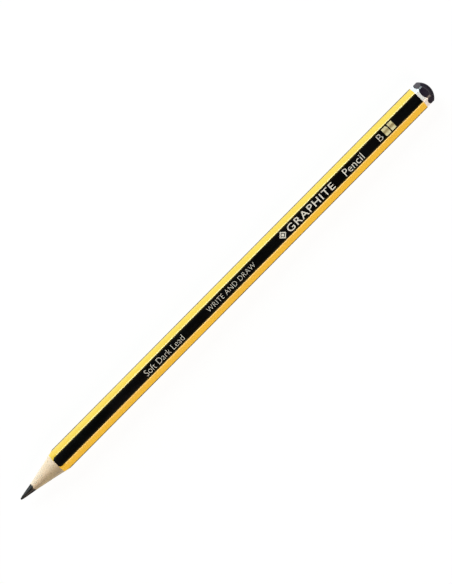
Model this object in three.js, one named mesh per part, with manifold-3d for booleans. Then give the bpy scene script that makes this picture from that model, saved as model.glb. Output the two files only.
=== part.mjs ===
// A hexagonal graphite pencil, sharpened at one end and dipped at the other, in millimetres.
// The pencil lies along X with its point at -X and its dipped end at +X. It rests on its lower
// black face at Z = 0, with the printed black face up. Every piece is first shaped about the
// pencil's own axis, with the point at X = 0, and one group then lifts and centres the whole.
import * as THREE from "three";
import { mergeVertices } from "three/addons/utils/BufferGeometryUtils.js";
import Module from "manifold-3d";

const wasm = await Module();
wasm.setup();

// Driving dimensions.
const LENGTH = 175;
const BARREL = { acrossFlats: 7.0, cornerRadius: 0.8 };
const CORE_DIAMETER = 2.56;
const CASING = { acrossFlats: 6.86, cornerRadius: 3.25 };
const SLIM_CASING = { acrossFlats: 6.72, cornerRadius: 2.52, length: 5.74 }; // under the dip
const BLACK_STRIPE_WIDTH = 3.56;
const EDGE_LINE = { width: 1.2, thickness: 0.04 };
const FIT = 0.015; // clearance left between two faces that touch

// The sharpened end: a blunt nose, a slender graphite cone and a slightly wider wood cone.
const POINT = { noseLength: 0.25, noseRadius: 0.3, graphiteEnd: 5.3, woodSlope: 0.2185 };

// The dipped end: the barrel is dressed down over its last stretch, dipped white, then black.
const DIP = { length: 4.74, cornerRadius: 1.3, domeRadius: 4.75 };
const DRESSED = { acrossFlats: 6.84, domeInset: 0.25 };
const WHITE_COAT = { acrossFlats: 6.94, domeInset: 0.1 };
const BLACK_COAT = { acrossFlats: 7.0, domeInset: 0 };
const BLACK_BORDER = { lobeTip: 3.65, recession: 2.8 };

// Foil stampings on the upper black face: where each starts along the pencil's middle, its length
// along X, its height across the face, and how far it sits off the face's centre line.
const FOIL_THICKNESS = 0.025;
const FOILS = [
  { name: "foil_lead_note", start: -34.2, length: 16.0, height: 1.95, offset: -0.1 },
  { name: "foil_use_line", start: -7.5, length: 19.9, height: 1.55, offset: 0 },
  { name: "foil_emblem", start: 23.2, length: 2.7, height: 2.6, offset: 0 },
  { name: "foil_large_word", start: 26.7, length: 19.4, height: 2.25, offset: -0.05 },
  { name: "foil_small_word", start: 50.6, length: 7.9, height: 2.3, offset: -0.1 },
  { name: "foil_grade_letter", start: 65.1, length: 1.6, height: 2.1, offset: -0.05 },
  { name: "foil_block_a", start: 67.7, length: 1.95, height: 2.6, offset: 0 },
  { name: "foil_block_b", start: 70.05, length: 1.75, height: 2.6, offset: 0 },
];

// How finely round shapes are divided.
const CORNER_STEPS = 8;
const TURNED_STEPS = 48;
const DOME_STEPS = 8;
const NOSE_STEPS = 4;

const REACH = 6; // a radius that is outside the barrel everywhere
const OVERRUN = 1; // how far a cutting body runs past the piece that it cuts

// Finishes.
const FINISH = {
  graphite: { color: 0x2b2b2e, roughness: 0.45, metalness: 0.35 },
  wood: { color: 0xd8bd94, roughness: 0.85, metalness: 0 },
  yellow: { color: 0xf2bd2c, roughness: 0.35, metalness: 0 },
  black: { color: 0x0d0d0e, roughness: 0.3, metalness: 0 },
  white: { color: 0xe9e8e2, roughness: 0.3, metalness: 0 },
  cap: { color: 0x201a26, roughness: 0.25, metalness: 0 },
  foil: { color: 0xd8d2c6, roughness: 0.4, metalness: 0.5 },
};

/** Turns a closed BufferGeometry into a solid that can be joined and cut. */
function solidOf(geometry) {
  const bare = geometry.clone();
  bare.deleteAttribute("normal");
  bare.deleteAttribute("uv");
  const merged = mergeVertices(bare);
  const index = merged.index.array;
  const triangles = [];
  for (let i = 0; i < index.length; i += 3) {
    const [a, b, c] = index.slice(i, i + 3);
    if (a !== b && b !== c && c !== a) triangles.push(a, b, c);
  }
  return new wasm.Manifold(new wasm.Mesh({
    numProp: 3,
    vertProperties: new Float32Array(merged.attributes.position.array),
    triVerts: new Uint32Array(triangles),
  }));
}

/** Turns a solid back into a BufferGeometry. */
function geometryOf(solid) {
  const mesh = solid.getMesh();
  const geometry = new THREE.BufferGeometry();
  geometry.setAttribute("position", new THREE.BufferAttribute(mesh.vertProperties.slice(), 3));
  geometry.setIndex(new THREE.BufferAttribute(mesh.triVerts.slice(), 1));
  geometry.computeVertexNormals();
  return geometry;
}

const ALONG = new THREE.Vector3(1, 0, 0);
const ACROSS = new THREE.Vector3(0, 1, 0);
const UP = new THREE.Vector3(0, 0, 1);

/** Extrudes an outline drawn in the Y-Z plane along X, from one station to another. */
function prism(outline, from, to) {
  const geometry = new THREE.ExtrudeGeometry(outline, {
    depth: to - from,
    bevelEnabled: false,
    curveSegments: CORNER_STEPS,
  });
  geometry.applyMatrix4(new THREE.Matrix4().makeBasis(ACROSS, UP, ALONG));
  geometry.translate(from, 0, 0);
  return solidOf(geometry);
}

/** Turns a profile of [x, radius] points about the pencil's axis. It starts and ends on the axis. */
function turned(profile) {
  const points = profile.map(([x, radius]) => new THREE.Vector2(radius, x));
  const geometry = new THREE.LatheGeometry(points, TURNED_STEPS);
  geometry.applyMatrix4(new THREE.Matrix4().makeBasis(ACROSS, ALONG, UP.clone().negate()));
  return solidOf(geometry);
}

/** A box given by its lowest and highest corners. */
function block(low, high) {
  const size = high.map((value, i) => value - low[i]);
  const geometry = new THREE.BoxGeometry(...size);
  geometry.translate(...low.map((value, i) => value + size[i] / 2));
  return solidOf(geometry);
}

/** A hexagon in the Y-Z plane with flats at top and bottom and rounded corners, grown by a margin. */
function hexagon({ acrossFlats, cornerRadius }, margin = 0) {
  const radius = cornerRadius + margin;
  const centres = (acrossFlats / 2 - cornerRadius) / Math.cos(Math.PI / 6);
  const outline = new THREE.Shape();
  for (let corner = 0; corner < 6; corner += 1) {
    const angle = (corner * Math.PI) / 3;
    const y = centres * Math.cos(angle);
    const z = centres * Math.sin(angle);
    outline.absarc(y, z, radius, angle - Math.PI / 6, angle + Math.PI / 6, false);
  }
  outline.closePath();
  return outline;
}

/** A circle in the Y-Z plane. */
function circle(radius) {
  return new THREE.Shape().absarc(0, 0, radius, 0, 2 * Math.PI, false);
}

/** The profile of the sharpened point, from its nose to beyond the barrel's surface. */
function pointProfile() {
  const { noseLength, noseRadius, graphiteEnd, woodSlope } = POINT;
  const points = [];
  for (let step = 0; step <= NOSE_STEPS; step += 1) {
    const turn = (step / NOSE_STEPS) * (Math.PI / 2);
    points.push([noseLength * (1 - Math.cos(turn)), noseRadius * Math.sin(turn)]);
  }
  points.push([graphiteEnd, CORE_DIAMETER / 2]);
  points.push([graphiteEnd + (REACH - CORE_DIAMETER / 2) / woodSlope, REACH]);
  return points;
}

/** The profile of the domed end, set in from the finished dome, from its rim to the axis. */
function domeProfile(inset) {
  const radius = DIP.domeRadius - inset;
  const centre = LENGTH - DIP.domeRadius;
  const points = [[centre, REACH]];
  for (let step = 0; step <= DOME_STEPS; step += 1) {
    const turn = (step / DOME_STEPS) * (Math.PI / 2);
    points.push([centre + radius * Math.sin(turn), radius * Math.cos(turn)]);
  }
  points[points.length - 1][1] = 0;
  return points;
}

/** The whole barrel as one envelope: sharpened, then dressed down and domed for its dip. */
function barrelEnvelope() {
  const dipStart = LENGTH - DIP.length;
  const dressed = { ...DIP, ...DRESSED };
  const body = prism(hexagon(BARREL), 0, dipStart);
  const end = prism(hexagon(dressed), dipStart - OVERRUN, LENGTH);
  return body.add(end).intersect(turned([...pointProfile(), ...domeProfile(DRESSED.domeInset)]));
}

/** Everything inside one dip coat's outer surface, over the dressed end. */
function dipVolume(coat, margin = 0) {
  const outline = hexagon({ ...DIP, ...coat }, margin);
  const start = LENGTH - DIP.length + FIT;
  const dome = domeProfile(coat.domeInset - margin);
  return prism(outline, start, LENGTH).intersect(turned([[start - OVERRUN, 0],
    [start - OVERRUN, REACH], ...dome]));
}

/** The space that one edge line takes on the corner between two yellow faces. */
function edgeLineSpace(side, margin) {
  const outer = prism(hexagon(BARREL, OVERRUN), 0, LENGTH);
  const inner = prism(hexagon(BARREL, -EDGE_LINE.thickness - margin), -OVERRUN, LENGTH + OVERRUN);
  const half = EDGE_LINE.width / 2 + margin;
  const [from, to] = side > 0 ? [0, REACH] : [-REACH, 0];
  return outer.subtract(inner).intersect(block([0, from, -half], [LENGTH, to, half]));
}

/** The graphite core, which runs the whole length. */
function leadCore(envelope) {
  return prism(circle(CORE_DIAMETER / 2), 0, LENGTH).intersect(envelope);
}

/** The casing's outside before it is sharpened. It is slimmer over its last stretch. */
function casingForm(margin = 0) {
  const step = LENGTH - SLIM_CASING.length;
  const body = prism(hexagon(CASING, margin), -OVERRUN, step + margin);
  return body.add(prism(hexagon(SLIM_CASING, margin), step - OVERRUN, LENGTH + OVERRUN));
}

/** The one-piece wood casing, moulded round the core. */
function woodCasing(envelope) {
  const bore = prism(circle(CORE_DIAMETER / 2 + FIT), -2 * OVERRUN, LENGTH + 2 * OVERRUN);
  return casingForm(-FIT).subtract(bore).intersect(envelope);
}

/** One strip of the black skin, over the flat of the upper (1) or lower (-1) face. */
function blackSkin(skin, side) {
  const half = BLACK_STRIPE_WIDTH / 2 - FIT / 2;
  const [from, to] = side > 0 ? [0, REACH] : [-REACH, 0];
  return skin.intersect(block([0, -half, from], [LENGTH, half, to]));
}

/** One side of the yellow skin, over two faces and their corners, with a bed for its edge line. */
function yellowSkin(skin, side) {
  const half = BLACK_STRIPE_WIDTH / 2 + FIT / 2;
  const [from, to] = side > 0 ? [half, REACH] : [-REACH, -half];
  const sector = block([0, from, -REACH], [LENGTH, to, REACH]);
  return skin.intersect(sector).subtract(edgeLineSpace(side, FIT));
}

/** The black line printed on one side corner, from the sharpened cone to the dip. */
function edgeLine(envelope, side) {
  return edgeLineSpace(side, 0).intersect(envelope);
}

/** The white dip coat, a cup over the dressed and domed end. */
function whiteDipCoat() {
  return dipVolume(WHITE_COAT).subtract(prism(hexagon({ ...DIP, ...DRESSED }, FIT), 0, LENGTH)
    .intersect(turned([[0, 0], [0, REACH], ...domeProfile(DRESSED.domeInset - FIT)])));
}

/** The black dip over the white one. Its border runs back from the middle of each face. */
function blackDipCap() {
  const borderCone = turned([
    [LENGTH - BLACK_BORDER.lobeTip - (BLACK_BORDER.recession * BARREL.acrossFlats) / 2, 0],
    [LENGTH + OVERRUN, (BARREL.acrossFlats / 2)
      + (BLACK_BORDER.lobeTip + OVERRUN) / BLACK_BORDER.recession],
    [LENGTH + OVERRUN, 0],
  ]);
  return dipVolume(BLACK_COAT).subtract(dipVolume(WHITE_COAT, FIT)).intersect(borderCone);
}

/** One foil stamping, a thin plate just above the upper black face. */
function foilPlate({ start, length, height, offset }) {
  const low = BARREL.acrossFlats / 2 + FIT;
  const left = LENGTH / 2 + start;
  return block(
    [left, offset - height / 2, low],
    [left + length, offset + height / 2, low + FOIL_THICKNESS],
  );
}

const pencil = new THREE.Group();
pencil.position.set(-LENGTH / 2, 0, BARREL.acrossFlats / 2);

/** Adds one finished solid to the pencil as a named mesh. */
function addPiece(name, solid, finish) {
  const mesh = new THREE.Mesh(geometryOf(solid), new THREE.MeshStandardMaterial(finish));
  mesh.name = name;
  pencil.add(mesh);
}

const envelope = barrelEnvelope();
const skin = envelope.subtract(casingForm());

addPiece("lead_core", leadCore(envelope), FINISH.graphite);
addPiece("wood_casing", woodCasing(envelope), FINISH.wood);
addPiece("black_skin_top", blackSkin(skin, 1), FINISH.black);
addPiece("black_skin_bottom", blackSkin(skin, -1), FINISH.black);
addPiece("yellow_skin_left", yellowSkin(skin, 1), FINISH.yellow);
addPiece("yellow_skin_right", yellowSkin(skin, -1), FINISH.yellow);
addPiece("edge_line_left", edgeLine(envelope, 1), FINISH.black);
addPiece("edge_line_right", edgeLine(envelope, -1), FINISH.black);
addPiece("white_dip_coat", whiteDipCoat(), FINISH.white);
addPiece("black_dip_cap", blackDipCap(), FINISH.cap);
for (const foil of FOILS) addPiece(foil.name, foilPlate(foil), FINISH.foil);

export default pencil;
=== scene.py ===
"""Looks of a hexagonal graphite pencil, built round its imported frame.

The pencil lies along X, with its sharpened point at low X and its dipped end at high X, on one flat face.
Every place is worked out from the frame's boxes. All lengths are in metres.
"""

import logging
import math
from collections.abc import Callable, Iterator, Sequence
from contextlib import contextmanager
from dataclasses import dataclass, field
from enum import Enum
from functools import cache
from itertools import pairwise
from typing import Any

import bmesh
import bpy
from mathutils import Matrix, Vector


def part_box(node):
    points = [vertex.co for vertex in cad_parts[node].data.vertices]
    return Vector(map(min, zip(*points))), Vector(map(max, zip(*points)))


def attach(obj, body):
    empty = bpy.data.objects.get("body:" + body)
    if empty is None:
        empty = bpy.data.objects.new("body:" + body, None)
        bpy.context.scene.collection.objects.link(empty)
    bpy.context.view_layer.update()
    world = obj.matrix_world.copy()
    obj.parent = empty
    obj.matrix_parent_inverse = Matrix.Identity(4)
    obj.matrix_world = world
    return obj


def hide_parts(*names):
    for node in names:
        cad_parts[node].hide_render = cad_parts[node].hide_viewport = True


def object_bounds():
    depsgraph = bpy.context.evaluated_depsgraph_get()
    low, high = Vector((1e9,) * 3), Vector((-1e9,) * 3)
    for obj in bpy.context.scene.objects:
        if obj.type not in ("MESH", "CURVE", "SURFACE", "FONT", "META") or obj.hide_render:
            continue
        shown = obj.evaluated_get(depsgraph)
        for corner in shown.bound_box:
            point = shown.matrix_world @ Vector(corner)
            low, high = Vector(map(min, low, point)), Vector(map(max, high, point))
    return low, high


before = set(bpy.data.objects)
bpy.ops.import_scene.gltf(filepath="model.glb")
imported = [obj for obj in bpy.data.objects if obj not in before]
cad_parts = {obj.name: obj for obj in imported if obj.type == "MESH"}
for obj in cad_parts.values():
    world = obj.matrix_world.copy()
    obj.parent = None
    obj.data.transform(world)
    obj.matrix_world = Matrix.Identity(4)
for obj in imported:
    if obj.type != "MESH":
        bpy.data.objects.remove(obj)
CAD_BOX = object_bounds()

LOG = logging.getLogger("pencil")
BODY = "root"
MM = 0.001

Colour = tuple[float, float, float, float]


# ---------------------------------------------------------------- shader maths


class Term:
    """A node's output on which Python's operators build Math nodes."""

    def __init__(self, recipe: "Recipe", socket: bpy.types.NodeSocket) -> None:
        """Wraps an output of a node in the recipe's tree."""
        self.recipe = recipe
        self.socket = socket

    def _maths(self, operation: str, *values: "Term | float") -> "Term":
        """Adds one Math node and returns its output."""
        inputs = dict(enumerate(values))
        return self.recipe.node("ShaderNodeMath", {"operation": operation}, inputs)

    def __add__(self, other: "Term | float") -> "Term":
        """self + other."""
        return self._maths("ADD", self, other)

    __radd__ = __add__

    def __sub__(self, other: "Term | float") -> "Term":
        """self - other."""
        return self._maths("SUBTRACT", self, other)

    def __rsub__(self, other: float) -> "Term":
        """other - self."""
        return self._maths("SUBTRACT", other, self)

    def __mul__(self, other: "Term | float") -> "Term":
        """self * other."""
        return self._maths("MULTIPLY", self, other)

    __rmul__ = __mul__

    def __truediv__(self, other: "Term | float") -> "Term":
        """self / other."""
        return self._maths("DIVIDE", self, other)

    def __abs__(self) -> "Term":
        """The size of self without its sign."""
        return self._maths("ABSOLUTE", self)

    def root(self) -> "Term":
        """The square root of self."""
        return self._maths("SQRT", self)

    def fraction(self) -> "Term":
        """What is left of self above the next lower whole number."""
        return self._maths("FRACT", self)

    def mixed(self, other: "Term", share: float) -> "Term":
        """Self with that share of other mixed in."""
        return self * (1 - share) + other * share

    def ramp(self, low: float, high: float, start: float = 0.0, end: float = 1.0) -> "Term":
        """Turns low..high into start..end smoothly, and holds the end values outside.

        Args:
            low: value of self that gives start.
            high: value of self that gives end.
            start: result at low.
            end: result at high.

        Returns:
            The new value.
        """
        settings = {"interpolation_type": "SMOOTHSTEP"}
        values = {"Value": self, 1: low, 2: high, 3: start, 4: end}
        return self.recipe.node("ShaderNodeMapRange", settings, values)


class Recipe:
    """The node tree of one material or world, made node by node."""

    def __init__(self, tree: bpy.types.NodeTree) -> None:
        """Empties the tree."""
        self.tree = tree
        tree.nodes.clear()

    def node(
        self,
        kind: str,
        settings: dict[str, Any] | None = None,
        inputs: dict[str | int, Any] | None = None,
        output: str | int = 0,
    ) -> Term:
        """Adds a node of any kind.

        Args:
            kind: the node's type.
            settings: properties of the node, set first.
            inputs: value or Term for each socket, by name or number.
            output: the output to return, by name or number.

        Returns:
            The chosen output.
        """
        made = self.tree.nodes.new(kind)
        for key, setting in (settings or {}).items():
            setattr(made, key, setting)
        for key, value in (inputs or {}).items():
            if isinstance(value, Term):
                self.tree.links.new(value.socket, made.inputs[key])
            else:
                made.inputs[key].default_value = value
        return Term(self, made.outputs[output]) if made.outputs else Term(self, None)

    def place(self) -> Term:
        """Object coordinates, which are metres in the row's own frame."""
        return self.node("ShaderNodeTexCoord", output="Object")

    def axes(self) -> tuple[Term, Term, Term]:
        """Splits the object coordinates.

        Returns:
            The distances along X, Y and Z.
        """
        split = self.node("ShaderNodeSeparateXYZ", inputs={0: self.place()})
        outputs = split.socket.node.outputs
        return tuple(Term(self, socket) for socket in outputs)

    def noise(self, grain: float, stretch: float = 1.0, detail: float = 3.0, shift: float = 0.0) -> Term:
        """Cloudy noise from 0 to 1.

        Args:
            grain: size of one cloud across the pencil.
            stretch: how many times longer it is along the pencil.
            detail: octaves of finer clouds.
            shift: moves the pattern, so that two noises differ.

        Returns:
            The noise value.
        """
        inputs = {"Vector": self.place(), "Location": (shift, shift, shift)}
        inputs["Scale"] = (1 / stretch, 1.0, 1.0)
        mapped = self.node("ShaderNodeMapping", inputs=inputs)
        values = {"Vector": mapped, "Scale": 1 / grain, "Detail": detail}
        return self.node("ShaderNodeTexNoise", inputs=values)

    def mix(self, share: Term | float, first: Term | Colour, second: Term | Colour) -> Term:
        """Blends two colours: share 0 gives the first and 1 the second."""
        return self.node("ShaderNodeMix", {"data_type": "RGBA"}, {0: share, 6: first, 7: second}, 2)

    def bump(self, height: Term, depth: float) -> Term:
        """Turns a height from 0 to 1 into a normal, with the given depth in metres."""
        return self.node("ShaderNodeBump", inputs={"Height": height, "Distance": depth})


def grey(level: float) -> Colour:
    """A neutral colour of that linear level."""
    return (level, level, level, 1.0)


def tone(red: float, green: float, blue: float) -> Colour:
    """A colour from its linear channels."""
    return (red, green, blue, 1.0)


def surface(name: str, build: Callable[[Recipe], dict[str, Any]]) -> bpy.types.Material:
    """Makes a material with one Principled shader.

    Args:
        name: the material's name.
        build: gives the shader's sockets, and may add nodes to the recipe.

    Returns:
        The material.
    """
    material = bpy.data.materials.new(name)
    material.use_nodes = True
    recipe = Recipe(material.node_tree)
    shader = recipe.node("ShaderNodeBsdfPrincipled", inputs=build(recipe))
    recipe.node("ShaderNodeOutputMaterial", inputs={"Surface": shader})
    return material


# ---------------------------------------------------------------- finishes

# Nearly all of a noise's values lie between these two.
NOISE_SPAN = (0.3, 0.7)


@dataclass(frozen=True)
class GraphiteFinish:
    """Soft graphite, burnished by the sharpener, with fine scratches and a dull sheen."""

    name: str = "graphite"
    dark: Colour = tone(0.0095, 0.009, 0.0095)
    light: Colour = tone(0.037, 0.034, 0.035)
    roughness: tuple[float, float] = (0.36, 0.56)
    metallic: float = 0.35
    scratch_grain: float = 0.05 * MM
    scratch_share: float = 0.45
    scratch_depth: float = 0.012 * MM
    patch_grain: float = 0.55 * MM
    worn_span: tuple[float, float] = (0.36, 0.68)

    def sockets(self, recipe: Recipe) -> dict[str, Any]:
        """Works out the shader of this finish.

        Args:
            recipe: the material's tree, which takes the finish's nodes.

        Returns:
            A value or Term for each socket, by its name.
        """
        scratches = recipe.noise(self.scratch_grain, stretch=9.0)
        patches = recipe.noise(self.patch_grain, stretch=2.5, shift=0.3)
        worn = patches.mixed(scratches, self.scratch_share).ramp(*self.worn_span)
        return {
            "Base Color": recipe.mix(worn, self.dark, self.light),
            "Roughness": patches.ramp(*NOISE_SPAN, *self.roughness),
            "Metallic": self.metallic,
            "Normal": recipe.bump(scratches, self.scratch_depth),
        }


@dataclass(frozen=True)
class WoodFinish:
    """Pressed wood fibre, freshly cut: long fibres, flecks and cutting rings, with painted light that makes
    the +Y side paler and painted shade that makes the -Y side browner.
    """

    name: str = "wood_composite"
    # pale and tan are painted lit colours for the +Y side; brown and dark are painted shaded colours for
    # the -Y side.
    pale: Colour = tone(0.88, 0.67, 0.53)
    tan: Colour = tone(0.84, 0.60, 0.40)
    brown: Colour = tone(0.44, 0.385, 0.25)
    dark: Colour = tone(0.28, 0.26, 0.215)
    fleck: Colour = tone(0.20, 0.135, 0.07)
    roughness: tuple[float, float] = (0.68, 0.86)
    specular: float = 0.25
    fibre_grain: float = 0.11 * MM
    fleck_grain: float = 0.17 * MM
    fleck_span: tuple[float, float] = (0.64, 0.74)
    fleck_strength: float = 0.55
    band_grain: float = 1.5 * MM
    band_share: float = 0.5
    brown_span: tuple[float, float] = (0.36, 0.66)
    # How far the painted light and shade reach across the pencil, and how much noise sways their border.
    lit_side_span: tuple[float, float] = (-0.65, 0.6)
    lit_side_sway: float = 0.8
    ring_pitch: float = 0.21 * MM
    ring_share: float = 0.25
    depth: float = 0.02 * MM

    def sockets(self, recipe: Recipe) -> dict[str, Any]:
        """Works out the shader of this finish.

        Args:
            recipe: the material's tree, which takes the finish's nodes.

        Returns:
            A value or Term for each socket, by its name.
        """
        fibres = recipe.noise(self.fibre_grain, stretch=11.0, detail=4.0)
        bands = recipe.noise(self.band_grain, stretch=4.0, shift=0.7)
        flecks = recipe.noise(self.fleck_grain, stretch=3.5, detail=1.0, shift=0.4)
        along, across, up = recipe.axes()
        wobble = recipe.noise(self.band_grain, shift=0.1)
        turns = (along / self.ring_pitch + wobble).fraction()
        rings = abs(turns - 0.5) * 2.0
        browned = fibres.mixed(bands, self.band_share).ramp(*self.brown_span)
        above = up - AXIS.height
        reach = (across * across + above * above).root()
        # Painted light and shade: the lit colours take the +Y side, towards the key lamp, and the shaded
        # brown colours take the -Y side.
        side = (across / reach + (bands - 0.5) * self.lit_side_sway).ramp(*self.lit_side_span)
        lit_side_tone = recipe.mix(browned, self.pale, self.tan)
        lit_and_shaded_tone = recipe.mix(side, recipe.mix(browned, self.brown, self.dark), lit_side_tone)
        marked = flecks.ramp(*self.fleck_span) * self.fleck_strength
        return {
            "Base Color": recipe.mix(marked, lit_and_shaded_tone, self.fleck),
            "Roughness": fibres.ramp(*NOISE_SPAN, *self.roughness),
            "Specular IOR Level": self.specular,
            "Normal": recipe.bump(fibres.mixed(rings, self.ring_share), self.depth),
        }


@dataclass(frozen=True)
class SkinFinish:
    """Satin skin of the barrel, drawn lengthwise, with a slight orange peel and faint handling marks.

    A fringe is the colour that a stripe takes towards its long borders.
    """

    name: str
    base: Colour
    shade: Colour
    roughness: tuple[float, float] = (0.3, 0.42)
    specular: float = 0.5
    coat: float = 0.0
    coat_roughness: float = 0.28
    fringe: Colour | None = None
    fringe_span: tuple[float, float] = (1.3 * MM, 1.8 * MM)
    streak_grain: float = 0.09 * MM
    peel_grain: float = 0.35 * MM
    peel_share: float = 0.6
    cloud_grain: float = 5.0 * MM
    cloud_share: float = 0.6
    shade_span: tuple[float, float] = (0.38, 0.66)
    handled_share: float = 0.5
    handled_span: tuple[float, float] = (0.35, 0.65)
    depth: float = 0.004 * MM

    def sockets(self, recipe: Recipe) -> dict[str, Any]:
        """Works out the shader of this finish.

        Args:
            recipe: the material's tree, which takes the finish's nodes.

        Returns:
            A value or Term for each socket, by its name.
        """
        streaks = recipe.noise(self.streak_grain, stretch=60.0)
        peel = recipe.noise(self.peel_grain, stretch=1.8, shift=0.2)
        clouds = recipe.noise(self.cloud_grain, stretch=2.0, shift=0.6)
        shaded = streaks.mixed(clouds, self.cloud_share).ramp(*self.shade_span)
        handled = clouds.mixed(peel, self.handled_share)
        colour = recipe.mix(shaded, self.base, self.shade)
        if self.fringe:
            _, across, _ = recipe.axes()
            colour = recipe.mix(abs(across).ramp(*self.fringe_span), colour, self.fringe)
        return {
            "Base Color": colour,
            "Roughness": handled.ramp(*self.handled_span, *self.roughness),
            "Specular IOR Level": self.specular,
            "Coat Weight": self.coat,
            "Coat Roughness": self.coat_roughness,
            "Normal": recipe.bump(streaks.mixed(peel, self.peel_share), self.depth),
        }


@dataclass(frozen=True)
class DipFinish:
    """Dip lacquer: a thick glossy coat with soft waves and a few dust specks."""

    name: str
    base: Colour
    shade: Colour
    roughness: tuple[float, float] = (0.16, 0.3)
    coat: float = 0.4
    coat_roughness: float = 0.12
    wave_grain: float = 1.1 * MM
    wave_span: tuple[float, float] = (0.35, 0.7)
    speck_grain: float = 0.12 * MM
    speck_span: tuple[float, float] = (0.7, 0.78)
    speck_share: float = 0.2
    speck_height: float = 0.15
    depth: float = 0.006 * MM

    def sockets(self, recipe: Recipe) -> dict[str, Any]:
        """Works out the shader of this finish.

        Args:
            recipe: the material's tree, which takes the finish's nodes.

        Returns:
            A value or Term for each socket, by its name.
        """
        waves = recipe.noise(self.wave_grain, detail=1.5)
        grit = recipe.noise(self.speck_grain, detail=1.0, shift=0.5)
        specks = grit.ramp(*self.speck_span)
        shaded = waves.ramp(*self.wave_span).mixed(specks, self.speck_share)
        return {
            "Base Color": recipe.mix(shaded, self.base, self.shade),
            "Roughness": waves.ramp(*NOISE_SPAN, *self.roughness),
            "Coat Weight": self.coat,
            "Coat Roughness": self.coat_roughness,
            "Normal": recipe.bump(waves.mixed(specks, self.speck_height), self.depth),
        }


@dataclass(frozen=True)
class PrintFinish:
    """Thin black line of print on the side edges, slightly worn through."""

    name: str = "edge_print"
    ink: Colour = tone(0.06, 0.042, 0.010)
    worn: Colour = tone(0.16, 0.11, 0.016)
    roughness: tuple[float, float] = (0.3, 0.42)
    specular: float = 0.4
    wear_grain: float = 0.4 * MM
    wear_span: tuple[float, float] = (0.56, 0.74)
    depth: float = 0.003 * MM

    def sockets(self, recipe: Recipe) -> dict[str, Any]:
        """Works out the shader of this finish.

        Args:
            recipe: the material's tree, which takes the finish's nodes.

        Returns:
            A value or Term for each socket, by its name.
        """
        wear = recipe.noise(self.wear_grain, stretch=6.0, detail=4.0)
        return {
            "Base Color": recipe.mix(wear.ramp(*self.wear_span), self.ink, self.worn),
            "Roughness": wear.ramp(*NOISE_SPAN, *self.roughness),
            "Specular IOR Level": self.specular,
            "Normal": recipe.bump(wear, self.depth),
        }


@dataclass(frozen=True)
class FoilFinish:
    """Hot-stamped foil: a bright film with a fine grain, thinned where the die pressed lightly."""

    name: str
    bright: Colour
    thin: Colour
    roughness: tuple[float, float] = (0.36, 0.52)
    metallic: float = 0.25
    middle_band_width: float = 0.0
    middle_band_strength: float = 0.8
    grain: float = 0.16 * MM
    patch_grain: float = 0.9 * MM
    patch_share: float = 0.5
    thin_span: tuple[float, float] = (0.5, 0.68)
    thin_strength: float = 0.7
    depth: float = 0.003 * MM

    def sockets(self, recipe: Recipe) -> dict[str, Any]:
        """Works out the shader of this finish.

        Args:
            recipe: the material's tree, which takes the finish's nodes.

        Returns:
            A value or Term for each socket, by its name.
        """
        fine = recipe.noise(self.grain, detail=4.0)
        patches = recipe.noise(self.patch_grain, shift=0.9)
        worn = fine.mixed(patches, self.patch_share)
        thinned = worn.ramp(*self.thin_span) * self.thin_strength
        # A soft darker band along the pencil's middle line, fading out towards each side over the band's
        # width.
        if self.middle_band_width:
            _, across, _ = recipe.axes()
            middle_band = abs(across).ramp(0.0, self.middle_band_width, self.middle_band_strength, 0.0)
            thinned = (thinned + middle_band).ramp(0.0, 1.0)
        return {
            "Base Color": recipe.mix(thinned, self.bright, self.thin),
            "Roughness": fine.ramp(*NOISE_SPAN, *self.roughness),
            "Metallic": self.metallic,
            "Normal": recipe.bump(fine, self.depth),
        }


class Finish(Enum):
    """The pencil's finishes, each under the name of its material slot."""

    GRAPHITE = GraphiteFinish()
    WOOD = WoodFinish()
    YELLOW = SkinFinish(
        "yellow_skin",
        base=tone(0.87, 0.565, 0.03),
        shade=tone(0.84, 0.53, 0.026),
        roughness=(0.25, 0.35),
        coat=0.4,
    )
    BLACK = SkinFinish(
        "black_skin",
        base=tone(0.0010, 0.0012, 0.0013),
        shade=tone(0.0022, 0.0022, 0.0026),
        roughness=(0.24, 0.33),
        specular=0.22,
        fringe=tone(0.06, 0.045, 0.007),
    )
    WHITE_DIP = DipFinish(
        "white_dip",
        base=tone(0.78, 0.78, 0.80),
        shade=tone(0.74, 0.74, 0.76),
        coat=0.2,
        depth=0.003 * MM,
    )
    DARK_DIP = DipFinish(
        "dark_dip",
        base=tone(0.015, 0.010, 0.021),
        shade=tone(0.021, 0.016, 0.028),
        roughness=(0.26, 0.36),
        coat=0.15,
        coat_roughness=0.3,
    )
    EDGE = PrintFinish()
    SILVER = FoilFinish(
        "silver_foil",
        bright=tone(0.88, 0.84, 0.78),
        thin=tone(0.42, 0.385, 0.34),
    )
    CREAM = FoilFinish(
        "cream_foil",
        bright=tone(0.82, 0.755, 0.46),
        thin=tone(0.36, 0.27, 0.12),
        middle_band_width=0.9 * MM,
    )

    @property
    def slot(self) -> str:
        """The record's slot for this finish, which its material is named after."""
        return self.value.name

    @cache
    def material(self) -> bpy.types.Material:
        """The finish's material, made at its first use."""
        return surface(self.slot, self.value.sockets)


# ---------------------------------------------------------------- hand tools


class Cut(Enum):
    """What a second solid does to the first."""

    KEEP_INSIDE = "INTERSECT"
    TAKE_AWAY = "DIFFERENCE"
    ADD = "UNION"


def pick_only(obj: bpy.types.Object) -> None:
    """Selects one object alone and makes it active.

    Args:
        obj: the object.
    """
    bpy.ops.object.select_all(action="DESELECT")
    obj.select_set(True)
    bpy.context.view_layer.objects.active = obj


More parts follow.
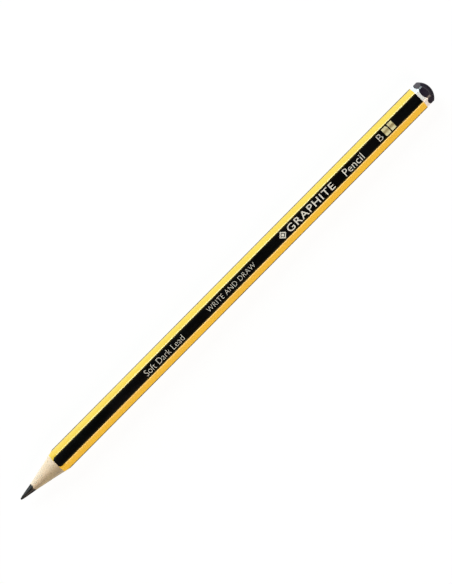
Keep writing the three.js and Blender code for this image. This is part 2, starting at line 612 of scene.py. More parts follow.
@contextmanager
def editing(obj: bpy.types.Object, everything: bool = True) -> Iterator[None]:
    """Opens obj in edit mode, and closes it again.

    Args:
        obj: the mesh object.
        everything: selects the whole mesh, or else nothing.

    Yields:
        Nothing, while edit mode is open.
    """
    pick_only(obj)
    bpy.ops.object.mode_set(mode="EDIT")
    bpy.ops.mesh.select_all(action="SELECT" if everything else "DESELECT")
    yield
    bpy.ops.object.mode_set(mode="OBJECT")


@dataclass(frozen=True)
class Axis:
    """The pencil's own axis: where it starts and ends, and how high it lies."""

    tip: float
    end: float
    height: float

    def place(self, along: float, sideways: float = 0.0, up: float = 0.0) -> Vector:
        """A point from its distance behind the tip and its two distances from the axis."""
        return Vector((self.tip + along, sideways, self.height + up))


def pencil_axis() -> Axis:
    """Reads the axis from the frame.

    Returns:
        The axis from the core's tip to the cap's end, at the cap's middle height.
    """
    core_low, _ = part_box("lead_core")
    cap_low, cap_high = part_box("black_dip_cap")
    return Axis(core_low.x, cap_high.x, (cap_low.z + cap_high.z) / 2)


AXIS = pencil_axis()


class Solid:
    """A mesh that is shaped by operators, with its object left at the origin."""

    MERGE = 0.0005 * MM
    SLIVER = 0.0001 * MM
    SMOOTH_ANGLE = math.radians(28)

    def __init__(self, obj: bpy.types.Object, name: str) -> None:
        """Takes over an object that was just made, and moves its place into its mesh.

        Args:
            obj: the object.
            name: its new name, and its mesh's.
        """
        self.obj = obj
        obj.name = name
        obj.data.name = name
        pick_only(obj)
        bpy.ops.object.transform_apply(location=True, rotation=True, scale=True)

    @classmethod
    def added(cls, name: str, primitive: Callable[..., Any], **sizes: Any) -> "Solid":
        """Adds a primitive with nothing else selected.

        Args:
            name: the object's name.
            primitive: the operator that adds it.
            sizes: the operator's own arguments.

        Returns:
            The solid.
        """
        bpy.ops.object.select_all(action="DESELECT")
        primitive(**sizes)
        return cls(bpy.context.object, name)

    @classmethod
    def disc(cls, name: str, vertices: int, radius: float, along: float) -> "Solid":
        """A flat polygon across the axis, ready to be pulled.

        Args:
            name: the object's name.
            vertices: corners of the polygon.
            radius: from the axis to a corner.
            along: distance from the tip.

        Returns:
            The flat sheet.
        """
        return cls.added(
            name,
            bpy.ops.mesh.primitive_circle_add,
            vertices=vertices,
            radius=radius,
            fill_type="NGON",
            location=AXIS.place(along),
            rotation=(0, math.pi / 2, 0),
        )

    @classmethod
    def turned(cls, name: str, profile: Sequence[tuple[float, float]], steps: int = 128) -> "Solid":
        """Turns a profile round the pencil's axis.

        Args:
            name: the object's name.
            profile: distance from the tip and radius of each point; the first and last lie on the axis.
            steps: facets round the axis.

        Returns:
            The closed turned body.
        """
        along, radius = profile[0]
        solid = cls.added(
            name, bpy.ops.mesh.primitive_plane_add, size=MM, location=AXIS.place(along, up=radius)
        )
        with editing(solid.obj):
            bpy.ops.mesh.merge(type="CENTER")
            for (x, r), (next_x, next_r) in pairwise(profile):
                step = (next_x - x, 0, next_r - r)
                bpy.ops.mesh.extrude_vertices_move(TRANSFORM_OT_translate={"value": step})
            bpy.ops.mesh.select_all(action="SELECT")
            bpy.ops.mesh.spin(steps=steps, angle=math.tau, center=AXIS.place(0), axis=(1, 0, 0))
        return solid.tidied()

    @classmethod
    def block(cls, name: str, low: Vector, high: Vector) -> "Solid":
        """A plain block between two corners, for cutting.

        Args:
            name: the object's name.
            low: its lowest corner.
            high: its highest corner.

        Returns:
            The block.
        """
        middle = (low + high) / 2
        solid = cls.added(name, bpy.ops.mesh.primitive_cube_add, size=1.0, location=middle)
        with editing(solid.obj):
            bpy.ops.transform.resize(value=high - low, center_override=middle)
        return solid

    def pulled(self, stations: Sequence[float]) -> "Solid":
        """Extrudes a flat section into a bar.

        Args:
            stations: distances from the tip; the flat section lies at the first.

        Returns:
            This solid.
        """
        with editing(self.obj):
            for here, there in pairwise(stations):
                step = (there - here, 0, 0)
                bpy.ops.mesh.extrude_region_move(TRANSFORM_OT_translate={"value": step})
        return self.tidied()

    def tidied(self) -> "Solid":
        """Merges doubled vertices and turns the faces outwards.

        Returns:
            This solid.
        """
        with editing(self.obj):
            bpy.ops.mesh.remove_doubles(threshold=self.MERGE)
            bpy.ops.mesh.dissolve_degenerate(threshold=self.SLIVER)
            bpy.ops.mesh.select_all(action="SELECT")
            bpy.ops.mesh.normals_make_consistent(inside=False)
        return self

    def removed(self) -> None:
        """Takes a cutting solid out of the scene."""
        bpy.data.objects.remove(self.obj)

    def apply(self, modifier: bpy.types.Modifier) -> "Solid":
        """Applies a modifier to the mesh.

        Args:
            modifier: one of the object's modifiers.

        Returns:
            This solid.
        """
        pick_only(self.obj)
        bpy.ops.object.modifier_apply(modifier=modifier.name)
        return self

    def cut(self, how: Cut, other: "Solid", keep: bool = False) -> "Solid":
        """Cuts or joins with another solid.

        Args:
            how: what the other solid does.
            other: the other solid.
            keep: leaves the other in the scene for later cuts, or else takes it out.

        Returns:
            This solid.
        """
        modifier = self.obj.modifiers.new("cut", "BOOLEAN")
        modifier.operation = how.value
        modifier.solver = "EXACT"
        modifier.object = other.obj
        self.apply(modifier)
        if not keep:
            other.removed()
        return self

    def roughened(self, depth: float, grain: float) -> "Solid":
        """Moves the surface in and out by noise, along its normals.

        Args:
            depth: the whole travel from the lowest to the highest point.
            grain: size of one bump.

        Returns:
            This solid.
        """
        texture = bpy.data.textures.new(self.obj.name, "CLOUDS")
        texture.noise_scale = grain
        modifier = self.obj.modifiers.new("roughen", "DISPLACE")
        modifier.texture = texture
        modifier.texture_coords = "LOCAL"
        modifier.strength = depth
        return self.apply(modifier)

    def softened(self, width: float, angle: float, segments: int = 3) -> "Solid":
        """Rounds the sharp edges.

        Args:
            width: how far the rounding reaches from the edge.
            angle: rounds only edges sharper than this, in degrees.
            segments: facets across the rounding.

        Returns:
            This solid.
        """
        modifier = self.obj.modifiers.new("soften", "BEVEL")
        modifier.width = width
        modifier.segments = segments
        modifier.limit_method = "ANGLE"
        modifier.angle_limit = math.radians(angle)
        modifier.harden_normals = False
        return self.apply(modifier)

    def thickened(self, height: float) -> "Solid":
        """Extrudes a flat sheet upwards into a closed plate.

        Args:
            height: the plate's thickness.

        Returns:
            This solid.
        """
        with editing(self.obj):
            bpy.ops.mesh.remove_doubles(threshold=self.MERGE)
            bpy.ops.mesh.select_all(action="SELECT")
            bpy.ops.mesh.extrude_region_move(TRANSFORM_OT_translate={"value": (0, 0, height)})
        return self.tidied()

    def fitted(self, low: Vector, high: Vector) -> "Solid":
        """Stretches and moves a flat sheet until it fills a box seen from above.

        Args:
            low: the box's lowest corner, at whose height the sheet comes to lie.
            high: the box's highest corner.

        Returns:
            This solid.
        """
        corners = [vertex.co for vertex in self.obj.data.vertices]
        mine_low = Vector([min(c[i] for c in corners) for i in range(3)])
        mine_high = Vector([max(c[i] for c in corners) for i in range(3)])
        scale_x = (high.x - low.x) / (mine_high.x - mine_low.x)
        scale_y = (high.y - low.y) / (mine_high.y - mine_low.y)
        with editing(self.obj):
            bpy.ops.transform.resize(value=(scale_x, scale_y, 1), center_override=mine_low)
            bpy.ops.transform.translate(value=low - mine_low)
        return self

    def finished(self, finish: Finish, *nodes: str) -> "Solid":
        """Dresses the piece and gives it its place in the row.

        Args:
            finish: the finish it takes.
            nodes: the CAD nodes that it stands for.

        Returns:
            This solid.
        """
        pick_only(self.obj)
        bpy.ops.object.shade_smooth_by_angle(angle=self.SMOOTH_ANGLE)
        self.obj.data.materials.clear()
        self.obj.data.materials.append(finish.material())
        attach(self.obj, BODY)
        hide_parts(*nodes)
        LOG.info("%s: %d faces, finish %s", self.obj.name, len(self.obj.data.polygons), finish.slot)
        return self


# ---------------------------------------------------------------- forms shared by several pieces


@dataclass
class Point:
    """The sharpened end: a blunt nose, a slightly swollen lead and a slightly hollow cone of wood."""

    nose_radius: float = 0.3 * MM
    nose_length: float = 0.25 * MM
    lead_end: float = 5.3 * MM
    lead_radius: float = 1.28 * MM
    slope: float = 0.2185
    swell: float = 0.06 * MM
    hollow: float = 0.06 * MM
    cone_end: float = 17.5 * MM
    full_radius: float = 5.0 * MM
    ring_pitch: float = 0.42 * MM
    ring_depth: float = 0.007 * MM
    chatter: float = 0.022 * MM
    chatter_grain: float = 1.7 * MM
    nose_steps: int = 6

    def radius_at(self, along: float) -> float:
        """Works out how thick the cone is.

        Args:
            along: distance from the tip, behind the nose.

        Returns:
            The radius.
        """
        if along >= self.lead_end:
            share = (along - self.lead_end) / (self.cone_end - self.lead_end)
            straight = self.lead_radius + self.slope * (along - self.lead_end)
            return straight - self.hollow * math.sin(math.pi * min(share, 1.0))
        share = (along - self.nose_length) / (self.lead_end - self.nose_length)
        lead = self.nose_radius + (self.lead_radius - self.nose_radius) * share
        return lead + self.swell * math.sin(math.pi * math.sqrt(share))

    def profile(self, length: float) -> list[tuple[float, float]]:
        """The outline that the whole pencil stays inside.

        Args:
            length: the pencil's whole length.

        Returns:
            The nose, the cone with its faint rings, then a straight wall to past the pencil's end.
        """
        points = []
        for step in range(self.nose_steps):
            turn = math.pi / 2 * step / self.nose_steps
            along = self.nose_length * (1 - math.cos(turn))
            points.append((along, self.nose_radius * math.sin(turn)))
        cone_length = self.lead_end + (self.full_radius - self.lead_radius) / self.slope
        rings = int((cone_length - self.nose_length) / self.ring_pitch)
        for ring in range(rings + 1):
            along = self.nose_length + (cone_length - self.nose_length) * ring / rings
            groove = self.ring_depth * (ring % 2)
            points.append((along, self.radius_at(along) - groove))
        points.append((length + MM, self.full_radius))
        points.append((length + MM, 0.0))
        return points

    def limit(self, length: float) -> Solid:
        """A solid that keeps what the sharpener leaves of anything inside it."""
        form = Solid.turned("point_limit", self.profile(length))
        return form.roughened(self.chatter, self.chatter_grain)


@dataclass
class Dome:
    """The rounded end, as a sphere's cap on the pencil's axis."""

    radius: float = 4.75 * MM
    width: float = 4.6 * MM
    steps: int = 40

    def limit(self, length: float, inset: float) -> Solid:
        """A solid that keeps everything below the dome.

        Args:
            length: the pencil's whole length.
            inset: how far below the finished dome this one lies.

        Returns:
            The limiting solid.
        """
        top = length - inset
        widest = math.asin(self.width / self.radius)
        profile = [(-MM, 0.0), (-MM, self.width)]
        for step in range(self.steps + 1):
            turn = widest * (1 - step / self.steps)
            along = top - self.radius * (1 - math.cos(turn))
            profile.append((along, self.radius * math.sin(turn)))
        return Solid.turned("dome_limit", profile)


@dataclass(frozen=True)
class Section:
    """A hexagonal section with rounded corners."""

    flats: float
    corner: float
    corner_steps: int = 10

    def bar(self, name: str, start: float, end: float, grow: float = 0.0) -> Solid:
        """A bar of this section, lying on one of its flats.

        Args:
            name: the bar's name.
            start: where it starts, from the tip.
            end: where it ends, from the tip.
            grow: added to each side of the section.

        Returns:
            The bar.
        """
        solid = Solid.disc(name, 6, (self.flats + 2 * grow) / math.sqrt(3), start)
        rounding = (self.corner + grow) / math.sqrt(3)
        with editing(solid.obj):
            bpy.ops.mesh.bevel(offset=rounding, segments=self.corner_steps, affect="VERTICES")
        return solid.pulled((start, end))


@dataclass(frozen=True)
class Sections:
    """The sections, one inside the other, that all pieces share, and the gap left between two pieces."""

    barrel: Section = Section(7.0 * MM, 0.8 * MM)
    casing: Section = Section(6.86 * MM, 3.25 * MM)
    casing_slim: Section = Section(6.72 * MM, 2.52 * MM)
    inlay: Section = Section(6.92 * MM, 0.76 * MM)
    dressed: Section = Section(6.84 * MM, 1.3 * MM)
    white: Section = Section(6.94 * MM, 1.3 * MM)
    cap: Section = Section(7.0 * MM, 1.3 * MM)
    gap: float = 0.006 * MM


@dataclass
class Plan:
    """The forms that limit every piece, made once and thrown away at the end."""

    sections: Sections = field(default_factory=Sections)
    point: Point = field(default_factory=Point)
    dome: Dome = field(default_factory=Dome)
    overrun: float = 2.0 * MM
    slimmed: float = 1.0 * MM
    wood_dome_inset: float = 0.25 * MM

    def __post_init__(self) -> None:
        """Reads the lengths from the frame and makes the limits."""
        self.length = AXIS.end - AXIS.tip
        self.dip_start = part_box("white_dip_coat")[0].x - AXIS.tip
        self.colour_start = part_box("black_skin_top")[0].x - AXIS.tip
        self.sharpened = self.point.limit(self.length)
        self.wood_dome = self.dome.limit(self.length, self.wood_dome_inset)
        LOG.info("pencil %.1f mm long, dipped from %.2f mm", self.length / MM, self.dip_start / MM)

    def casing_form(self, name: str, grow: float = 0.0) -> Solid:
        """The casing's outside before it is sharpened, slimmer under the dip.

        Args:
            name: the bar's name.
            grow: added to each side of the section.

        Returns:
            The bar, which runs on past the pencil's end.
        """
        step = self.dip_start - self.slimmed
        far = self.length + self.overrun
        bar = self.sections.casing.bar(name, 0.0, step + grow, grow)
        slim = self.sections.casing_slim.bar("slim_form", step - self.overrun, far, grow)
        return bar.cut(Cut.ADD, slim)

    def shaped(self, blank: Solid) -> Solid:
        """Sharpens one end of a blank and domes the other.

        Args:
            blank: a solid that reaches past both limits.

        Returns:
            The same solid, shaped.
        """
        blank.cut(Cut.KEEP_INSIDE, self.sharpened, keep=True)
        blank.cut(Cut.KEEP_INSIDE, self.wood_dome, keep=True)
        return blank.tidied()

    def cleared(self) -> None:
        """Removes the limiting solids."""
        self.sharpened.removed()
        self.wood_dome.removed()


# ---------------------------------------------------------------- the pencil's pieces


@dataclass
class Lead:
    """The graphite core, which is not quite round, so that its border with the wood wanders."""

    plan: Plan
    radius: float = 1.28 * MM
    wander: float = 0.2 * MM
    wander_grain: float = 0.75 * MM
    ring_gap: float = 0.25 * MM
    shown_length: float = 9.0 * MM
    facets: int = 96

    def blank(self, name: str, grow: float = 0.0) -> Solid:
        """The whole core before it is sharpened.

        Args:
            name: the bar's name.
            grow: added to its radius.

        Returns:
            A bar with fine rings where its border shows, and none where it is hidden.
        """
        shown = int(self.shown_length / self.ring_gap)
        stations = [self.ring_gap * ring for ring in range(shown + 1)]
        stations.append(self.plan.length + self.plan.overrun)
        bar = Solid.disc(name, self.facets, self.radius + grow, stations[0]).pulled(stations)
        return bar.roughened(self.wander, self.wander_grain)

    def build(self) -> None:
        """Makes lead_core's visible piece."""
        lead = self.plan.shaped(self.blank("graphite_lead"))
        lead.finished(Finish.GRAPHITE, "lead_core")


@dataclass
class Casing:
    """The one-piece casing of pressed wood fibre round the lead."""

    plan: Plan
    lead: Lead

    def build(self) -> None:
        """Makes wood_casing's visible piece."""
        plan = self.plan
        wood = plan.casing_form("pressed_wood_casing")
        wood.cut(Cut.TAKE_AWAY, self.lead.blank("lead_room", plan.sections.gap))
        plan.shaped(wood).finished(Finish.WOOD, "wood_casing")


@dataclass
class Skin:
    """The coloured skin: a black stripe above and below, two yellow sides, and a line on each side edge."""

    plan: Plan
    stripe_width: float = 3.56 * MM
    stripe_start: float = 15.2 * MM
    stripe_nose_radius: float = 1.2 * MM
    line_width: float = 1.2 * MM
    line_start: float = 1.75 * MM
    reach: float = 6.0 * MM
    nose_steps: int = 14

    def stripe_block(self, name: str, up: bool, grow: float = 0.0) -> Solid:
        """A block over one black stripe, with a rounded nose.

        Args:
            name: the block's name.
            up: for the upper stripe, or else the lower one.
            grow: added to each side of the stripe.

        Returns:
            The block, which runs on past the pencil's end.
        """
        plan = self.plan
        half = self.stripe_width / 2 + grow
        start = self.stripe_start - grow
        low = AXIS.place(start, -half, 0.0 if up else -self.reach)
        high = AXIS.place(plan.length + plan.overrun, half, self.reach if up else 0.0)
        block = Solid.block(name, low, high)
        with editing(block.obj, everything=False):
            mesh = bmesh.from_edit_mesh(block.obj.data)
            for edge in mesh.edges:
                first, second = (vertex.co for vertex in edge.verts)
                upright = abs(first.z - second.z) > self.reach / 2
                if upright and first.x < (low.x + high.x) / 2:
                    edge.select_set(True)
            bmesh.update_edit_mesh(block.obj.data)
            bpy.ops.mesh.bevel(offset=self.stripe_nose_radius + grow, segments=self.nose_steps)
        return block

    def side_block(self, name: str, side: int) -> Solid:
        """A block over one side of the pencil.

        Args:
            name: the block's name.
            side: 1 for the left and -1 for the right.

        Returns:
            The block, which runs on past the pencil's end.
        """
        plan = self.plan
        near, far = sorted((side * plan.sections.gap, side * self.reach))
        low = AXIS.place(plan.colour_start - plan.overrun, near, -self.reach)
        high = AXIS.place(plan.length + plan.overrun, far, self.reach)
        return Solid.block(name, low, high)

    def edge_block(self, name: str, side: int, grow: float = 0.0) -> Solid:
        """A block round one side edge, as wide as the printed line.

        Args:
            name: the block's name.
            side: 1 for the left edge, -1 for the right.
            grow: added to each side of the line, and to its end.

        Returns:
            The block.
        """
        plan = self.plan
        half = self.line_width / 2 + grow
        near, far = sorted((side * self.line_start, side * self.reach))
        low = AXIS.place(plan.colour_start - plan.overrun, near, -half)
        high = AXIS.place(plan.dip_start - plan.sections.gap + 2 * grow, far, half)
        return Solid.block(name, low, high)

    def groove(self, side: int) -> Solid:
        """The bed of one edge line in the yellow skin.

        Args:
            side: 1 for the left edge, -1 for the right.

        Returns:
            A solid to be cut out of the skin.
        """
        plan = self.plan
        gap = plan.sections.gap
        bed = self.edge_block("groove", side, gap)
        inner = plan.sections.inlay.bar("inner", 0.0, plan.length, -gap)
        return bed.cut(Cut.TAKE_AWAY, inner)

    def hollowed(self, blank: Solid) -> Solid:
        """Trims a blank to what lies between the barrel's surface and the casing.

        Args:
            blank: the solid to trim.

        Returns:
            The same solid, trimmed.
        """
        plan = self.plan
        sections = plan.sections
        outside = sections.barrel.bar("outside", 0.0, plan.dip_start)
        far = plan.length + 2 * plan.overrun
        dressed = sections.dressed.bar("dressed", plan.dip_start - plan.overrun, far)
        outside.cut(Cut.ADD, dressed)
        blank.cut(Cut.KEEP_INSIDE, outside)
        return blank.cut(Cut.TAKE_AWAY, plan.casing_form("casing_room", sections.gap))

    def stripe(self, name: str, up: bool, node: str) -> None:
        """Makes one black stripe.

        Args:
            name: the piece's name.
            up: for the upper stripe, or else the lower one.
            node: its CAD node.
        """
        skin = self.hollowed(self.stripe_block(name, up))
        self.plan.shaped(skin).finished(Finish.BLACK, node)

    def side(self, name: str, side: int, node: str) -> None:
        """Makes one yellow side, with room for the stripes and a groove for its line.

        Args:
            name: the piece's name.
            side: 1 for the left and -1 for the right.
            node: its CAD node.
        """
        skin = self.hollowed(self.side_block(name, side))
        for up in (True, False):
            room = self.stripe_block("room", up, self.plan.sections.gap)
            skin.cut(Cut.TAKE_AWAY, room)
        skin.cut(Cut.TAKE_AWAY, self.groove(side))
        self.plan.shaped(skin).finished(Finish.YELLOW, node)

    def edge_line(self, name: str, side: int, node: str) -> None:
        """Makes the printed line on one side edge.

        Args:
            name: the piece's name.
            side: 1 for the left edge, -1 for the right.
            node: its CAD node.
        """
        plan = self.plan
        line = self.edge_block(name, side)
        outer = plan.sections.barrel.bar("outer", 0.0, plan.length)
        inner = plan.sections.inlay.bar("inner", 0.0, plan.length)
        line.cut(Cut.KEEP_INSIDE, outer)
        line.cut(Cut.TAKE_AWAY, inner)
        plan.shaped(line).finished(Finish.EDGE, node)

    def build(self) -> None:
        """Makes the four skins and the two lines."""
        self.stripe("black_stripe_upper", True, "black_skin_top")
        self.stripe("black_stripe_lower", False, "black_skin_bottom")
        self.side("yellow_side_left", 1, "yellow_skin_left")
        self.side("yellow_side_right", -1, "yellow_skin_right")
        self.edge_line("printed_edge_left", 1, "edge_line_left")
        self.edge_line("printed_edge_right", -1, "edge_line_right")


@dataclass
class DippedEnd:
    """The white dip over the end of the barrel, and the dark dip over that with one round lobe a face."""

    plan: Plan
    white_inset: float = 0.1 * MM
    lobe_radius: float = 3.0 * MM
    lobe_centre: float = 0.69 * MM
    lobe_depth: float = 12.0 * MM
    lobe_facets: int = 96
    lip: float = 0.02 * MM
    lip_angle: float = 50.0
    shoulder: float = 0.22 * MM
    shoulder_angle: float = 18.0
    shoulder_steps: int = 4

    def form(self, name: str, section: Section, inset: float, grow: float = 0.0) -> Solid:
        """A domed hexagonal end.

        Args:
            name: the solid's name.
            section: its section.
            inset: how far its dome lies below the pencil's end.
            grow: added to each side of the section, and to the dome.

        Returns:
            The solid, from the start of the dip to its dome.
        """
        plan = self.plan
        end = section.bar(name, plan.dip_start, plan.length + plan.overrun, grow)
        return end.cut(Cut.KEEP_INSIDE, plan.dome.limit(plan.length, inset - grow))

    def hollow(self, section: Section, inset: float) -> Solid:
        """The room inside a coat, for what it covers, open past the start of the dip.

        Args:
            section: the section of what it covers.
            inset: how far the dome of what it covers lies below the pencil's end.

        Returns:
            The room, with the gap all round.
        """
        plan = self.plan
        gap = plan.sections.gap
        room = self.form("room", section, inset, gap)
        start = plan.dip_start - plan.overrun
        tail = section.bar("tail", start, plan.dip_start + plan.overrun / 2, gap)
        return room.cut(Cut.ADD, tail)

    def lobes(self) -> Solid:
        """Joins three crossing round bars.

        Returns:
            Round bars through each pair of faces, whose outlines are the lobes.
        """
        centre = AXIS.place(self.plan.length - self.lobe_centre)
        joined, *others = [
            Solid.added(
                "lobe",
                bpy.ops.mesh.primitive_cylinder_add,
                vertices=self.lobe_facets,
                radius=self.lobe_radius,
                depth=self.lobe_depth,
                location=centre,
                rotation=(turn * math.pi / 3, 0, 0),
            )
            for turn in range(3)
        ]
        for bar in others:
            joined.cut(Cut.ADD, bar)
        return joined

    def build(self) -> None:
        """Makes the white coat and the dark cap."""
        sections = self.plan.sections
        white = self.form("white_dip", sections.white, self.white_inset)
        white.cut(Cut.TAKE_AWAY, self.hollow(sections.dressed, self.plan.wood_dome_inset))
        white.tidied().softened(self.lip, self.lip_angle)
        white.finished(Finish.WHITE_DIP, "white_dip_coat")

        cap = self.form("dark_dip_cap", sections.cap, 0.0)
        cap.softened(self.shoulder, self.shoulder_angle, self.shoulder_steps)
        cap.cut(Cut.KEEP_INSIDE, self.lobes())
        cap.cut(Cut.TAKE_AWAY, self.hollow(sections.white, self.white_inset))
        cap.tidied().finished(Finish.DARK_DIP, "black_dip_cap")


@dataclass(frozen=True)
class Words:
    """A line of stamped lettering and the foil node whose place it fills.

    The weight thickens the strokes, and the spacing is between letters, both as shares of their size.
    """

    name: str
    text: str
    node: str
    weight: float
    spacing: float = 1.0


@dataclass
class Imprint:
    """The foil stamped on the upper black stripe: plain words, a lozenge, a grade and two blocks."""

    lines: tuple[Words, ...] = (
        Words("stamped_lead_note", "Soft Dark Lead", "foil_lead_note", -0.018),
        Words("stamped_use_line", "WRITE AND DRAW", "foil_use_line", -0.021, 1.05),
        Words("stamped_large_word", "GRAPHITE", "foil_large_word", 0.004, 1.12),
        Words("stamped_small_word", "Pencil", "foil_small_word", -0.004, 1.05),
        Words("stamped_grade", "B", "foil_grade_letter", -0.02),
    )
    film: float = 0.024 * MM
    lift: float = 0.002 * MM
    band: float = 0.3 * MM
    inner_band: float = 0.24 * MM
    flag: float = 0.4 * MM
    curve_steps: int = 6

    def sheet_box(self, node: str) -> tuple[Vector, Vector]:
        """A foil node's box, lowered onto the stripe.

        Args:
            node: the foil's CAD node.

        Returns:
            Its lowest and highest corner, both at the foil's underside.
        """
        low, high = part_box(node)
        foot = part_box("black_skin_top")[1].z + self.lift
        return Vector((low.x, low.y, foot)), Vector((high.x, high.y, foot))

    def lettered(self, words: Words) -> None:
        """Makes one line of words as thin closed plates.

        Args:
            words: the line.
        """
        bpy.ops.object.select_all(action="DESELECT")
        bpy.ops.object.text_add()
        text = bpy.context.object
        text.data.body = words.text
        text.data.size = 1.0
        text.data.offset = words.weight
        text.data.space_character = words.spacing
        text.data.resolution_u = self.curve_steps
        pick_only(text)
        bpy.ops.object.convert(target="MESH")
        letters = Solid(bpy.context.object, words.name)
        letters.fitted(*self.sheet_box(words.node))
        letters.thickened(self.film).finished(Finish.SILVER, words.node)

    def lozenge(self) -> None:
        """Makes the ornament: a lozenge's outline with a small solid one inside it."""
        low, high = self.sheet_box("foil_emblem")
        middle = (low + high) / 2
        reach = (high.x - low.x) / 2
        ornament = Solid.added(
            "stamped_lozenge",
            bpy.ops.mesh.primitive_circle_add,
            vertices=4,
            radius=reach,
            fill_type="NGON",
            location=middle,
        )
        with editing(ornament.obj):
            bpy.ops.mesh.inset(thickness=self.band)
            bpy.ops.mesh.inset(thickness=self.inner_band)
            bpy.ops.mesh.select_all(action="DESELECT")
            mesh = bmesh.from_edit_mesh(ornament.obj.data)
            for face in mesh.faces:
                furthest = max((vertex.co - middle).length for vertex in face.verts)
                off_centre = (face.calc_center_median() - middle).length
                face.select = off_centre > self.band / 4 and furthest < reach - self.band / 2
            bmesh.update_edit_mesh(ornament.obj.data)
            bpy.ops.mesh.delete(type="FACE")
        ornament.fitted(low, high).thickened(self.film).finished(Finish.SILVER, "foil_emblem")

    def block(self, name: str, node: str, flagged: bool) -> None:
        """Makes one foil block. The gap between the two reads as a figure one.

        Args:
            name: the piece's name.
            node: its CAD node.
            flagged: cuts the corner at high X and high Y off, for the figure's flag.
        """
        low, high = self.sheet_box(node)
        middle = (low + high) / 2
        plate = Solid.added(name, bpy.ops.mesh.primitive_plane_add, size=MM, location=middle)
        plate.fitted(low, high)
        with editing(plate.obj, everything=False):
            mesh = bmesh.from_edit_mesh(plate.obj.data)
            for vertex in mesh.verts:
                vertex.select = flagged and vertex.co.x > middle.x and vertex.co.y > middle.y
            mesh.select_flush_mode()
            bmesh.update_edit_mesh(plate.obj.data)
            bpy.ops.mesh.bevel(offset=self.flag, segments=1, affect="VERTICES")
        plate.thickened(self.film).finished(Finish.CREAM, node)

    def build(self) -> None:
        """Makes all eight groups of foil."""
        for words in self.lines:
            self.lettered(words)
        self.lozenge()
        self.block("stamped_block_a", "foil_block_a", True)
        self.block("stamped_block_b", "foil_block_b", False)


# ---------------------------------------------------------------- studio


@dataclass(frozen=True)
class Lamp:
    """A soft square lamp that shines at the middle of the pencil, tilted in degrees towards +Y."""

    name: str
    tilt: float
    power: float
    colour: tuple[float, float, float]
    size: float = 0.8
    distance: float = 1.3


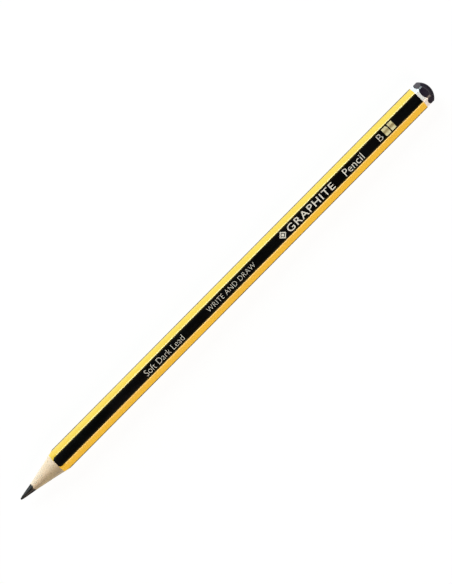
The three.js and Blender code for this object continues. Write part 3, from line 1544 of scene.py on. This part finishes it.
@dataclass
class Studio:
    """A pale floor, plain soft light and a camera straight above the printed face."""

    lens: float = 250.0
    sensor: float = 36.0
    view_height: float = 175.45 * MM
    turn: float = -45.26
    aim_right: float = 0.215 * MM
    aim_up: float = 0.355 * MM
    floor_size: float = 60.0
    floor_drop: float = 0.02 * MM
    floor_glow: float = 0.95
    floor_colour: Colour = grey(0.06)
    lamps: tuple[Lamp, ...] = (
        Lamp("key", tilt=57.0, power=19.8, colour=(0.83, 1.0, 1.0)),
        Lamp("fill", tilt=-54.0, power=15.6, colour=(1.0, 0.79, 0.6)),
    )
    overhead: float = 0.008
    horizon: float = 0.99
    low_left: float = 1.0
    low_right: float = 0.06
    sky_fade: tuple[float, float] = (0.03, 0.26)
    side_fade: tuple[float, float] = (0.3, 0.6)
    left_fade: tuple[float, float] = (0.0, 0.3)
    low_fade: tuple[float, float] = (-0.2, -0.06)
    view_reach: float = 10.0

    def camera(self) -> None:
        """Places the camera above the pencil, turned so that the pencil runs up to the right."""
        low, high = CAD_BOX
        distance = self.view_height * self.lens / self.sensor
        turn = Matrix.Rotation(math.radians(self.turn), 4, "Z")
        aim = (low + high) / 2 + turn @ Vector((self.aim_right, self.aim_up, 0))
        bpy.ops.object.camera_add(
            location=(aim.x, aim.y, high.z + distance), rotation=(0, 0, math.radians(self.turn))
        )
        camera = bpy.context.object
        camera.data.lens = self.lens
        camera.data.sensor_width = self.sensor
        camera.data.clip_end = self.view_reach * distance
        bpy.context.scene.camera = camera

    def floor(self) -> None:
        """Lays a pale floor that glows enough to drown soft shadows."""
        bpy.ops.object.select_all(action="DESELECT")
        bpy.ops.mesh.primitive_plane_add(size=self.floor_size, location=(0, 0, -self.floor_drop))
        floor = bpy.context.object
        floor.name = "floor"
        floor.visible_glossy = False
        floor.data.materials.append(
            surface(
                "floor",
                lambda recipe: {
                    "Base Color": self.floor_colour,
                    "Roughness": 1.0,
                    "Specular IOR Level": 0.0,
                    "Emission Color": grey(1.0),
                    "Emission Strength": self.floor_glow,
                },
            )
        )

    def light(self) -> None:
        """Hangs the lamps."""
        target = AXIS.place((AXIS.end - AXIS.tip) / 2)
        for lamp in self.lamps:
            tilt = Matrix.Rotation(-math.radians(lamp.tilt), 4, "X")
            bpy.ops.object.light_add(
                type="AREA",
                location=target + tilt @ Vector((0, 0, lamp.distance)),
                rotation=tilt.to_euler(),
            )
            light = bpy.context.object
            light.name = lamp.name
            light.data.shape = "SQUARE"
            light.data.size = lamp.size
            light.data.energy = lamp.power
            light.data.color = lamp.colour
            light.visible_camera = False

    def world(self) -> None:
        """Makes surroundings dark overhead, pale round the horizon, and bright low on the left only."""
        world = bpy.data.worlds.new("studio")
        bpy.context.scene.world = world
        world.use_nodes = True
        recipe = Recipe(world.node_tree)
        direction = recipe.node("ShaderNodeTexCoord", output="Generated")
        split = recipe.node("ShaderNodeSeparateXYZ", inputs={0: direction}).socket.node.outputs
        along, left, up = (Term(recipe, socket) for socket in split)
        above = up.ramp(*self.sky_fade, self.horizon, self.overhead)
        beside = abs(along).ramp(*self.side_fade, 1.0, 0.0)
        leftwards = left.ramp(*self.left_fade) * beside
        below = leftwards.ramp(0.0, 1.0, self.low_right, self.low_left)
        sunk = up.ramp(*self.low_fade, 1.0, 0.0)
        level = above * (1 - sunk) + below * sunk
        light = recipe.node("ShaderNodeBackground", inputs={"Color": grey(1.0), "Strength": level})
        recipe.node("ShaderNodeOutputWorld", inputs={"Surface": light})

    def build(self) -> None:
        """Sets the whole studio up."""
        bpy.context.scene.view_settings.view_transform = "Standard"
        self.camera()
        self.floor()
        self.light()
        self.world()


def main() -> None:
    """Builds the studio and the pencil, from the lead outwards."""
    logging.basicConfig(level=logging.INFO, format="%(name)s: %(message)s")
    Studio().build()
    plan = Plan()
    lead = Lead(plan)
    lead.build()
    Casing(plan, lead).build()
    Skin(plan).build()
    DippedEnd(plan).build()
    Imprint().build()
    plan.cleared()


if __name__ == "__main__":
    main()
